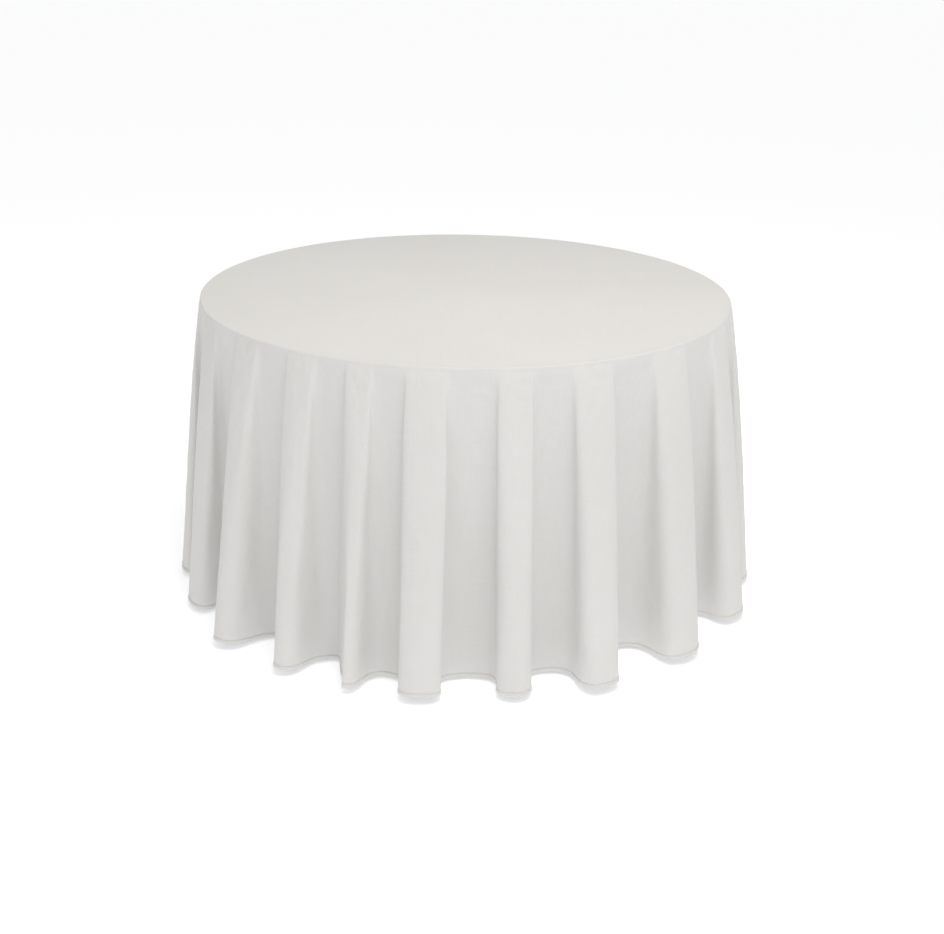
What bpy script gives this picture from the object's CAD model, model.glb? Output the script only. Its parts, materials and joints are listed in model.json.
import bpy
import json
import math
import numpy as np
from mathutils import Euler, Matrix, Vector


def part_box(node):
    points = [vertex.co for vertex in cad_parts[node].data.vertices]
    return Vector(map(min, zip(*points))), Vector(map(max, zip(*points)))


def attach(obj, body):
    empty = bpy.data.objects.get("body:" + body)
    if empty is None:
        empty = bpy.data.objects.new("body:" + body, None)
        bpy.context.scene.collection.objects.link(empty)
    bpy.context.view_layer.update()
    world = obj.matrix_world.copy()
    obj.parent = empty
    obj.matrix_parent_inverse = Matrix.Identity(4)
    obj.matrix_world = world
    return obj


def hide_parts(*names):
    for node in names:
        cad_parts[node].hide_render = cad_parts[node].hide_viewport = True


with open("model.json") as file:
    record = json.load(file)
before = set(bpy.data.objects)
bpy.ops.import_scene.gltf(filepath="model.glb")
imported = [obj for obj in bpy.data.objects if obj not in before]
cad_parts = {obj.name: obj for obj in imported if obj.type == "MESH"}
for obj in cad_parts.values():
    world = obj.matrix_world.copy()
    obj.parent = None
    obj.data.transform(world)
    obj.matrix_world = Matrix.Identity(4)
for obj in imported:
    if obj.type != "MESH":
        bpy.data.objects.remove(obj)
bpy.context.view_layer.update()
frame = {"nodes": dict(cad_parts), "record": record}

# A floor-length round tablecloth on a folding table.  Metres, +Z up, -Y is the front.

# ---------------------------------------------------------------- sizes
TOP_LOW, TOP_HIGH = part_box("edge_moulding")
TABLE_RADIUS = 0.5 * (TOP_HIGH.x - TOP_LOW.x)
TABLE_HEIGHT = TOP_HIGH.z
TOP_THICKNESS = TOP_HIGH.z - TOP_LOW.z
# the cloth's distance from the table, and the radius of its bend at the rim
CLOTH_GAP = 0.0016
RIM_BEND = 0.007
RIM_RADIUS = TABLE_RADIUS + CLOTH_GAP
# how far the hem stays above the floor
HEM_HEIGHT = 0.006

# cloth grid: columns between a crest and a valley, and rings from the middle to the hem
FLANK_COLUMNS = 12
TOP_RINGS = 7
BEND_RINGS = 3
SKIRT_RINGS = 46
# the first ring lies this share of the way in from the edge, and rings close up towards the edge
TOP_REACH = 0.96
TOP_GRADING = 1.7

# the folds at the hem, going round from the front towards +X:
# crest bearing in degrees, crest radius, bearing and radius of the valley after it
FOLDS = (
    (-7.8, 0.820, 2.2, 0.694), (9.2, 0.808, 16.0, 0.695), (24.0, 0.828, 33.5, 0.664),
    (42.6, 0.820, 53.0, 0.672), (62.5, 0.813, 71.5, 0.682), (79.0, 0.793, 87.5, 0.684),
    (95.5, 0.790, 104.0, 0.682), (112.0, 0.812, 121.0, 0.674), (129.5, 0.815, 138.0, 0.680),
    (146.0, 0.812, 154.0, 0.684), (162.5, 0.818, 171.0, 0.676), (179.0, 0.812, 187.0, 0.680),
    (195.0, 0.816, 203.5, 0.678), (211.5, 0.814, 220.0, 0.676), (228.0, 0.818, 236.5, 0.674),
    (245.0, 0.806, 254.0, 0.674), (262.5, 0.785, 271.5, 0.684), (280.0, 0.778, 288.5, 0.686),
    (296.5, 0.786, 305.5, 0.676), (313.2, 0.822, 321.0, 0.680), (328.0, 0.814, 334.8, 0.688),
    (340.5, 0.816, 346.0, 0.716),
)
# folds deepen down the skirt by this power, and a crest is narrower than a valley by this share
FOLD_GROWTH = 0.80
CREST_NARROWING = 0.10
# the search for a flank as long as the flat cloth's arc
FLANK_SAMPLES = 65
STEEPNESS_RANGE = (-0.6, 1.45)
SEARCH_STEPS = 18
# a ring drops by at least this share of the cloth between two rings
LEAST_DROP = 0.5

# cloth simulation
SIM_FRAMES = 18
CONTACT_MARGIN = 0.001
TABLE_FRICTION = 15.0
COLLIDER_SIDES = 256

# hem and weave
HEM_WIDTH = 0.010
HEM_ROLL = 0.0012
HEM_SWELL = 0.0009
STITCH_PITCH = 0.004
STITCH_START = 0.1
STITCH_LENGTH = 0.0028
STITCH_INSET = 0.002
THREAD_RADIUS = 0.0003
THREAD_PITCH = 0.0011
CLOTH_SHADE = (0.700, 0.694, 0.680)
CLOTH_LIGHT = (0.755, 0.750, 0.738)


# ---------------------------------------------------------------- cloth shape

def fold_stations():
    """Crests and valleys in turn round the skirt, as (bearing in radians, hem radius), closed at the end."""
    stations = []
    for crest, crest_radius, valley, valley_radius in FOLDS:
        stations.append((math.radians(crest), crest_radius))
        stations.append((math.radians(valley), valley_radius))
    stations.append((stations[0][0] + 2.0 * math.pi, stations[0][1]))
    return stations


def flank_curve(station, following, growth, steepness, shares):
    """Points in plan along the flank between a crest and a valley; a steeper flank is a longer one."""
    from_crest = 1.0 if station[1] > following[1] else -1.0
    lean = steepness / (2.0 * math.pi) * np.sin(2.0 * math.pi * shares)
    lean = lean - from_crest * growth * CREST_NARROWING * np.sin(math.pi * shares)
    turn = station[0] + (following[0] - station[0]) * (shares + lean)
    from_rim = station[1] - RIM_RADIUS
    to_rim = following[1] - RIM_RADIUS
    wave = 0.5 * (from_rim + to_rim) + 0.5 * (from_rim - to_rim) * np.cos(math.pi * shares)
    radius = RIM_RADIUS + growth * wave
    return np.stack([radius * np.sin(turn), -radius * np.cos(turn)], axis=1)


def curve_length(points):
    """Length of a chain of points."""
    return np.linalg.norm(np.diff(points, axis=0), axis=1).sum()


def flank_points(station, following, growth, flat_radius):
    """Equally spaced points on a flank whose length is that of the flat cloth's arc there."""
    shares = np.linspace(0.0, 1.0, FLANK_SAMPLES)
    wanted = (following[0] - station[0]) * flat_radius
    low, high = STEEPNESS_RANGE
    for _ in range(SEARCH_STEPS):
        middle = 0.5 * (low + high)
        if curve_length(flank_curve(station, following, growth, middle, shares)) < wanted:
            low = middle
        else:
            high = middle
    points = flank_curve(station, following, growth, low, shares)
    steps = np.linalg.norm(np.diff(points, axis=0), axis=1)
    along = np.concatenate([[0.0], np.cumsum(steps)])
    places = np.linspace(0.0, along[-1], FLANK_COLUMNS + 1)[:-1]
    return np.stack([np.interp(places, along, points[:, 0]), np.interp(places, along, points[:, 1])], axis=1)


def draped_ring(growth, flat_radius):
    """One closed ring of the skirt in plan."""
    stations = fold_stations()
    pairs = zip(stations[:-1], stations[1:])
    return np.concatenate([flank_points(a, b, growth, flat_radius) for a, b in pairs])


def column_bearings():
    """Bearing of each column of the grid on the table and on the flat cloth."""
    stations = fold_stations()
    return np.concatenate([
        np.linspace(a[0], b[0], FLANK_COLUMNS + 1)[:-1] for a, b in zip(stations[:-1], stations[1:])
    ])


def cloth_rings():
    """The draped rings and the same rings on the flat cloth, from the middle outwards."""
    bearings = column_bearings()
    unit = np.stack([np.sin(bearings), -np.cos(bearings)], axis=1)
    top_height = TABLE_HEIGHT + CLOTH_GAP
    draped, flat = [], []
    edge = RIM_RADIUS - RIM_BEND
    for ring in range(TOP_RINGS):
        inward = (1.0 - ring / (TOP_RINGS - 1)) ** TOP_GRADING
        radius = edge * (1.0 - TOP_REACH * inward)
        draped.append(np.column_stack([unit * radius, np.full(len(unit), top_height)]))
        flat.append(unit * radius)
    for ring in range(1, BEND_RINGS + 1):
        turn = 0.5 * math.pi * ring / BEND_RINGS
        radius = edge + RIM_BEND * math.sin(turn)
        height = top_height - RIM_BEND * (1.0 - math.cos(turn))
        draped.append(np.column_stack([unit * radius, np.full(len(unit), height)]))
        flat.append(unit * (edge + RIM_BEND * turn))
    hanging = top_height - RIM_BEND - HEM_HEIGHT
    bend_end = edge + RIM_BEND * 0.5 * math.pi
    step = hanging / SKIRT_RINGS
    for ring in range(1, SKIRT_RINGS + 1):
        share = ring / SKIRT_RINGS
        flat_radius = bend_end + hanging * share
        plan = draped_ring(share ** FOLD_GROWTH, flat_radius)
        above = draped[-1]
        drift = np.linalg.norm(plan - above[:, :2], axis=1)
        drop = np.sqrt(np.maximum(step ** 2 - drift ** 2, (LEAST_DROP * step) ** 2))
        draped.append(np.column_stack([plan, above[:, 2] - drop]))
        flat.append(unit * flat_radius)
    return draped, flat


def grid_faces(rings, columns):
    """Quads between neighbouring rings, closed round, with a fan in the middle."""
    faces = []
    for ring in range(rings - 1):
        for column in range(columns):
            after = (column + 1) % columns
            inner = ring * columns
            outer = inner + columns
            faces.append((inner + column, outer + column, outer + after, inner + after))
    centre = rings * columns
    faces += [(centre, column, (column + 1) % columns) for column in range(columns)]
    return faces


def make_mesh(name, points, faces):
    """An object in the scene with these points and faces."""
    mesh = bpy.data.meshes.new(name)
    mesh.from_pydata([tuple(point) for point in points], [], faces)
    mesh.validate()
    piece = bpy.data.objects.new(name, mesh)
    bpy.context.scene.collection.objects.link(piece)
    return piece


def flat_uv(mesh, flat_points):
    """The place of each vertex on the flat cloth, in metres, as the UV map of the weave."""
    layer = mesh.uv_layers.new(name="flat_cloth")
    corners = np.zeros(len(mesh.loops), np.int32)
    mesh.loops.foreach_get("vertex_index", corners)
    layer.data.foreach_set("uv", flat_points[corners].astype(np.float32).ravel())


def smooth_shade(piece):
    """Shade across the edges between faces."""
    piece.data.polygons.foreach_set("use_smooth", [True] * len(piece.data.polygons))


def table_collider():
    """A plain disc in the table top's place, for the simulation only."""
    bpy.ops.mesh.primitive_cylinder_add(
        vertices=COLLIDER_SIDES, radius=TABLE_RADIUS - CONTACT_MARGIN,
        depth=TOP_THICKNESS - 2.0 * CONTACT_MARGIN, location=(0, 0, TABLE_HEIGHT - 0.5 * TOP_THICKNESS))
    disc = bpy.context.object
    disc.modifiers.new("hit", "COLLISION")
    disc.collision.thickness_outer = CONTACT_MARGIN
    disc.collision.cloth_friction = TABLE_FRICTION
    return disc


def settle(piece, flat_points, pinned):
    """Let the folds hang under their own weight: the laid shape moves, the flat cloth is its rest shape."""
    group = piece.vertex_groups.new(name="on_table")
    group.add([int(index) for index in pinned], 1.0, "REPLACE")
    piece.shape_key_add(name="Basis")
    rest = piece.shape_key_add(name="flat")
    flat = np.column_stack([flat_points, np.full(len(flat_points), TABLE_HEIGHT)])
    rest.data.foreach_set("co", flat.astype(np.float32).ravel())
    cloth = piece.modifiers.new("drape", "CLOTH")
    cloth.settings.quality = 5
    cloth.settings.mass = 0.0009
    cloth.settings.tension_stiffness = 25.0
    cloth.settings.compression_stiffness = 25.0
    cloth.settings.shear_stiffness = 6.0
    cloth.settings.bending_stiffness = 1.5
    cloth.settings.air_damping = 6.0
    cloth.settings.vertex_group_mass = "on_table"
    cloth.settings.rest_shape_key = rest
    cloth.collision_settings.distance_min = CONTACT_MARGIN
    cloth.collision_settings.collision_quality = 3
    cloth.point_cache.frame_start = 1
    cloth.point_cache.frame_end = SIM_FRAMES
    scene = bpy.context.scene
    for step in range(1, SIM_FRAMES + 1):
        scene.frame_set(step)
    shown = piece.evaluated_get(bpy.context.evaluated_depsgraph_get())
    points = np.zeros(len(shown.data.vertices) * 3, np.float32)
    shown.data.vertices.foreach_get("co", points)
    scene.frame_set(1)
    piece.modifiers.remove(cloth)
    piece.shape_key_clear()
    piece.data.vertices.foreach_set("co", points)
    piece.data.update()
    return points.reshape(-1, 3)


def doubled(grid, radii):
    """Twice as many rings and columns, the new points on smooth curves through the old ones.

    A new ring on the flat top or just off it is a plain average, so that the top stays flat.
    """
    beside = (9.0 * (grid + np.roll(grid, -1, 1)) - np.roll(grid, 1, 1) - np.roll(grid, -2, 1)) / 16.0
    wide = np.stack([grid, beside], axis=2).reshape(len(grid), -1, grid.shape[2])
    gaps = np.diff(radii)[:, None, None]
    slopes = np.diff(wide, axis=0) / gaps
    inner = (slopes[:-1] * gaps[1:] + slopes[1:] * gaps[:-1]) / (gaps[1:] + gaps[:-1])
    bends = np.concatenate([slopes[:1], inner, slopes[-1:]])
    swell = gaps * (bends[:-1] - bends[1:]) / 8.0
    swell[:TOP_RINGS] = 0.0
    below = 0.5 * (wide[:-1] + wide[1:]) + swell
    pairs = np.stack([wide[:-1], below], axis=1).reshape(-1, *wide.shape[1:])
    return np.concatenate([pairs, wide[-1:]])


def disc_mesh(name, grid, flat_grid):
    """A mesh over rings and columns, closed in the middle, with its flat UV map."""
    rings, columns = grid.shape[:2]
    centre = np.append(grid[0].mean(axis=0)[:2], grid[0, :, 2].mean())
    points = np.concatenate([grid.reshape(-1, 3), centre[None]])
    flat_points = np.concatenate([flat_grid.reshape(-1, 2), np.zeros((1, 2))])
    piece = make_mesh(name, points, grid_faces(rings, columns))
    flat_uv(piece.data, flat_points)
    return piece, flat_points


def make_cloth():
    """The cloth, hung on a coarse grid and then made twice as fine; also its grid of points."""
    draped, flat = cloth_rings()
    grid, flat_grid = np.array(draped), np.array(flat)
    coarse, flat_points = disc_mesh("coarse_cloth", grid, flat_grid)
    columns = grid.shape[1]
    pinned = list(range(TOP_RINGS * columns)) + [len(flat_points) - 1]
    collider = table_collider()
    grid = settle(coarse, flat_points, pinned)[:-1].reshape(grid.shape).astype(float)
    for helper in (coarse, collider):
        bpy.data.objects.remove(helper)
    radii = np.linalg.norm(flat_grid[:, 0], axis=1)
    grid = doubled(grid, radii)
    cloth, _ = disc_mesh("tablecloth_fabric", grid, doubled(flat_grid, radii))
    smooth_shade(cloth)
    return cloth, grid


def edge_loop(grid):
    """The hem edge in order: its points, the direction up the cloth and the outward normal at each."""
    edge = grid[-1]
    up = grid[-3] - edge
    up /= np.linalg.norm(up, axis=1)[:, None]
    along = np.roll(edge, -1, 0) - np.roll(edge, 1, 0)
    out = np.cross(along, up)
    out /= np.linalg.norm(out, axis=1)[:, None]
    return [(Vector(a), Vector(b), Vector(c)) for a, b, c in zip(edge, up, out)]


def hem_band(loop):
    """The turned and pressed edge: a narrow flattened tube round the cloth's edge."""
    face = ((-0.5 * HEM_ROLL, HEM_ROLL), (0.5 * HEM_WIDTH, HEM_SWELL), (HEM_WIDTH, 0.4 * HEM_ROLL))
    back = tuple((rise, -swell) for rise, swell in reversed(face))
    profile = ((-HEM_ROLL, 0.0),) + face + back
    points = [place + up * rise + out * swell for place, up, out in loop for rise, swell in profile]
    count, around = len(loop), len(profile)
    faces = []
    for here in range(count):
        first = here * around
        second = (here + 1) % count * around
        for side in range(around):
            after = (side + 1) % around
            faces.append((first + side, first + after, second + after, second + side))
    band = make_mesh("turned_hem", points, faces)
    smooth_shade(band)
    return band


def hem_stitches(loop):
    """Lock stitches along the top of the hem, each a small raised bar of thread."""
    places = np.array([row[0] for row in loop] + [loop[0][0]])
    along = np.concatenate([[0.0], np.cumsum(np.linalg.norm(np.diff(places, axis=0), axis=1))])
    count = int(along[-1] / STITCH_PITCH)
    points, faces = [], []
    for stitch in range(count):
        base = len(points)
        for end in (0.0, STITCH_LENGTH):
            reach = (stitch + STITCH_START) * along[-1] / count + end
            index = min(int(np.searchsorted(along, reach)) - 1, len(loop) - 1)
            share = (reach - along[index]) / (along[index + 1] - along[index])
            place, up, out = loop[index]
            following = loop[(index + 1) % len(loop)]
            middle = place.lerp(following[0], share)
            rise = up.lerp(following[1], share).normalized()
            face = out.lerp(following[2], share).normalized()
            seam = middle + rise * (HEM_WIDTH - STITCH_INSET) + face * 0.8 * HEM_SWELL
            for side, lift in ((-1, 0), (-1, 1), (1, 1), (1, 0)):
                points.append(seam + rise * side * THREAD_RADIUS + face * lift * 2.0 * THREAD_RADIUS)
        faces += [(base, base + 1, base + 2, base + 3), (base + 7, base + 6, base + 5, base + 4)]
        faces += [(base + k, base + 4 + k, base + 4 + (k + 1) % 4, base + (k + 1) % 4) for k in range(4)]
    return make_mesh("hem_stitching", points, faces)


# ---------------------------------------------------------------- materials

class Material:
    """A Principled material with helpers for its procedural parts."""

    def __init__(self, name, roughness, metallic=0.0, specular=0.5):
        self.data = bpy.data.materials.new(name)
        self.data.use_nodes = True
        self.tree = self.data.node_tree
        self.shader = self.tree.nodes["Principled BSDF"]
        self.shader.inputs["Roughness"].default_value = roughness
        self.shader.inputs["Metallic"].default_value = metallic
        self.shader.inputs["Specular IOR Level"].default_value = specular

    def node(self, kind, **settings):
        made = self.tree.nodes.new(kind)
        for key, value in settings.items():
            setattr(made, key, value)
        return made

    def link(self, output, socket):
        self.tree.links.new(output, socket)

    def place(self, scale, uv_map=None):
        """Object or UV coordinates in metres, stretched by a scale."""
        if uv_map:
            source = self.node("ShaderNodeUVMap", uv_map=uv_map).outputs["UV"]
        else:
            source = self.node("ShaderNodeTexCoord").outputs["Object"]
        stretch = self.node("ShaderNodeMapping")
        stretch.inputs["Scale"].default_value = scale
        self.link(source, stretch.inputs["Vector"])
        return stretch.outputs["Vector"]

    def noise(self, place, detail=4.0, distortion=0.0):
        texture = self.node("ShaderNodeTexNoise")
        texture.inputs["Scale"].default_value = 1.0
        texture.inputs["Detail"].default_value = detail
        texture.inputs["Distortion"].default_value = distortion
        self.link(place, texture.inputs["Vector"])
        return texture.outputs["Fac"]

    def math(self, operation, first, second):
        made = self.node("ShaderNodeMath", operation=operation)
        for socket, value in zip(made.inputs, (first, second)):
            if isinstance(value, (int, float)):
                socket.default_value = value
            else:
                self.link(value, socket)
        return made.outputs["Value"]

    def ramp(self, factor, stops):
        """Colours along a factor, each stop being (position, colour)."""
        ramp = self.node("ShaderNodeValToRGB")
        elements = ramp.color_ramp.elements
        while len(elements) < len(stops):
            elements.new(0.5)
        for element, (position, colour) in zip(elements, stops):
            element.position = position
            element.color = (*colour, 1.0)
        self.link(factor, ramp.inputs["Fac"])
        return ramp.outputs["Color"]

    def colour(self, output):
        self.link(output, self.shader.inputs["Base Color"])

    def bump(self, height, strength, depth):
        bump = self.node("ShaderNodeBump")
        bump.inputs["Strength"].default_value = strength
        bump.inputs["Distance"].default_value = depth
        self.link(height, bump.inputs["Height"])
        self.link(bump.outputs["Normal"], self.shader.inputs["Normal"])

    def rough(self, factor, low, high):
        spread = self.node("ShaderNodeMapRange")
        spread.inputs["To Min"].default_value = low
        spread.inputs["To Max"].default_value = high
        self.link(factor, spread.inputs["Value"])
        self.link(spread.outputs["Result"], self.shader.inputs["Roughness"])


def woven_cloth():
    """Plain-weave white polyester: crossed threads, uneven yarns and a faint broad variation."""
    cloth = Material("woven_cloth", 0.88, specular=0.25)
    cloth.shader.inputs["Sheen Weight"].default_value = 0.12
    cloth.shader.inputs["Sheen Roughness"].default_value = 0.5
    turns = 2.0 * math.pi / THREAD_PITCH
    split = cloth.node("ShaderNodeSeparateXYZ")
    cloth.link(cloth.place((turns, turns, turns), "flat_cloth"), split.inputs["Vector"])
    warp = cloth.math("SINE", split.outputs["X"], 0.0)
    weft = cloth.math("SINE", split.outputs["Y"], 0.0)
    crossing = cloth.math("MULTIPLY", warp, weft)
    warp_yarn = cloth.noise(cloth.place((700.0, 9.0, 1.0), "flat_cloth"))
    weft_yarn = cloth.noise(cloth.place((9.0, 700.0, 1.0), "flat_cloth"))
    yarns = cloth.math("ADD", warp_yarn, weft_yarn)
    height = cloth.math("ADD", crossing, cloth.math("MULTIPLY", yarns, 1.6))
    cloth.bump(height, 0.25, 0.00012)
    broad = cloth.noise(cloth.place((2.2, 2.2, 2.2), "flat_cloth"), detail=3.0)
    tone = cloth.math("ADD", cloth.math("MULTIPLY", yarns, 0.35), cloth.math("MULTIPLY", broad, 0.3))
    cloth.colour(cloth.ramp(tone, ((0.35, CLOTH_SHADE), (0.65, CLOTH_LIGHT))))
    return cloth.data


def thread():
    """White sewing thread with a fine twist."""
    made = Material("sewing_thread", 0.6)
    twist = made.noise(made.place((900.0, 900.0, 900.0)))
    made.colour(made.ramp(twist, ((0.3, (0.66, 0.65, 0.62)), (0.7, (0.76, 0.75, 0.73)))))
    made.bump(twist, 0.3, 0.0001)
    return made.data


def wood(name, dark, light, roughness):
    """Grain along X, with pores and a slow change from board to board."""
    made = Material(name, roughness)
    grain = made.noise(made.place((1.6, 34.0, 34.0)), detail=6.0, distortion=0.6)
    pores = made.noise(made.place((30.0, 900.0, 900.0)), detail=2.0)
    mix = made.math("ADD", made.math("MULTIPLY", grain, 0.8), made.math("MULTIPLY", pores, 0.25))
    made.colour(made.ramp(mix, ((0.32, dark), (0.5, light), (0.68, dark))))
    made.bump(pores, 0.35, 0.0003)
    made.rough(grain, roughness - 0.08, roughness + 0.12)
    return made.data


def grained(name, dark, light, roughness, scale, depth, metallic=0.0):
    """A moulded, painted or plated surface with fine relief and uneven tone."""
    made = Material(name, roughness, metallic)
    fine = made.noise(made.place((scale, scale, scale)), detail=3.0)
    broad = made.noise(made.place((14.0, 14.0, 14.0)), detail=5.0)
    mix = made.math("ADD", made.math("MULTIPLY", fine, 0.4), made.math("MULTIPLY", broad, 0.6))
    made.colour(made.ramp(mix, ((0.3, dark), (0.7, light))))
    made.bump(fine, 0.5, depth)
    made.rough(broad, roughness - 0.1, roughness + 0.1)
    return made.data


def paint_frame():
    """Give every CAD node that shows its finish."""
    finishes = {
        "plywood": wood("plywood", (0.30, 0.19, 0.10), (0.52, 0.36, 0.20), 0.42),
        "wood_rail": wood("planed_rail", (0.36, 0.24, 0.13), (0.58, 0.42, 0.25), 0.55),
        "vinyl_edge": grained("vinyl_edging", (0.030, 0.022, 0.018), (0.050, 0.038, 0.030),
                              0.45, 1500.0, 0.0001),
        "tube_paint": grained("hammered_paint", (0.045, 0.046, 0.050), (0.085, 0.087, 0.092),
                              0.38, 420.0, 0.0004),
        "zinc": grained("zinc_plate", (0.42, 0.42, 0.40), (0.62, 0.61, 0.57),
                        0.36, 800.0, 0.0001, metallic=1.0),
        "rubber": grained("black_rubber", (0.012, 0.012, 0.012), (0.024, 0.023, 0.022),
                          0.75, 1200.0, 0.0002),
    }
    slots = {part["node"]: part["material_slot"] for part in frame["record"]["subparts"]}
    for name, piece in frame["nodes"].items():
        if slots[name] in finishes:
            piece.data.materials.clear()
            piece.data.materials.append(finishes[slots[name]])


def plain_material(name, colour, roughness):
    """One even colour."""
    material = Material(name, roughness)
    material.shader.inputs["Base Color"].default_value = (*colour, 1.0)
    return material.data


# ---------------------------------------------------------------- the object

cloth, cloth_grid = make_cloth()
hem_edge = edge_loop(cloth_grid)
hem = hem_band(hem_edge)
stitching = hem_stitches(hem_edge)
cloth.data.materials.append(woven_cloth())
hem.data.materials.append(cloth.data.materials[0])
stitching.data.materials.append(thread())
for piece in (cloth, hem, stitching):
    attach(piece, "cloth")
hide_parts("tablecloth")
paint_frame()


# ---------------------------------------------------------------- camera, floor and light

# camera: metres from the table's axis and above the floor, then degrees, then millimetres
CAMERA_DISTANCE = 3.427
CAMERA_HEIGHT = 1.630
CAMERA_PITCH = 21.77
CAMERA_YAW = 0.388
CAMERA_ROLL = 0.96
CAMERA_LENS = 50.87
SENSOR_WIDTH = 36.0
# floor and sky, the size in metres
FLOOR_SIZE = 240.0
FLOOR_SHADE = (0.90, 0.90, 0.90)
FLOOR_GLOW_COLOUR = (0.94, 0.96, 1.0, 1.0)
FLOOR_GLOW = 0.45
SKY_COLOUR = (1.0, 0.985, 0.96, 1.0)
SKY_STRENGTH = 0.60


def make_camera():
    """The camera in front of the table, turned down to it."""
    data = bpy.data.cameras.new("camera")
    data.lens = CAMERA_LENS
    data.sensor_width = SENSOR_WIDTH
    camera = bpy.data.objects.new("camera", data)
    bpy.context.scene.collection.objects.link(camera)
    turn = Euler((math.radians(90.0 - CAMERA_PITCH), 0.0, -math.radians(CAMERA_YAW))).to_matrix()
    turn = turn @ Matrix.Rotation(math.radians(CAMERA_ROLL), 3, "Z")
    camera.matrix_world = Matrix.Translation((0.0, -CAMERA_DISTANCE, CAMERA_HEIGHT)) @ turn.to_4x4()
    bpy.context.scene.camera = camera


def make_floor():
    """A plain white floor that glows a little, so that it shows as white all the way out."""
    bpy.ops.mesh.primitive_plane_add(size=FLOOR_SIZE)
    floor = bpy.context.object
    floor.name = "floor"
    white = plain_material("floor_white", FLOOR_SHADE, 0.9)
    glow = white.node_tree.nodes["Principled BSDF"].inputs
    glow["Emission Color"].default_value = FLOOR_GLOW_COLOUR
    glow["Emission Strength"].default_value = FLOOR_GLOW
    floor.data.materials.append(white)


def area_light(name, place, target, size, power, colour):
    """A round soft light at a place, turned to a target; size in metres and power in watts."""
    data = bpy.data.lights.new(name, "AREA")
    data.shape = "DISK"
    data.size = size
    data.energy = power
    data.color = colour
    light = bpy.data.objects.new(name, data)
    light.location = place
    light.rotation_euler = (Vector(target) - Vector(place)).to_track_quat("-Z", "Y").to_euler()
    bpy.context.scene.collection.objects.link(light)


def make_light():
    """An even sky, a large light overhead and a weaker one behind the camera."""
    world = bpy.data.worlds.new("studio")
    world.use_nodes = True
    world.node_tree.nodes["Background"].inputs["Color"].default_value = SKY_COLOUR
    world.node_tree.nodes["Background"].inputs["Strength"].default_value = SKY_STRENGTH
    bpy.context.scene.world = world
    area_light("overhead", (0.4, -1.0, 3.4), (0, 0, 0.76), 1.6, 39.0, (1.0, 0.98, 0.94))
    area_light("front_fill", (0.8, -4.4, 1.5), (0, -0.5, 0.4), 2.0, 13.0, (0.95, 0.96, 1.0))


make_camera()
make_floor()
make_light()
bpy.context.scene.view_settings.view_transform = "Standard"
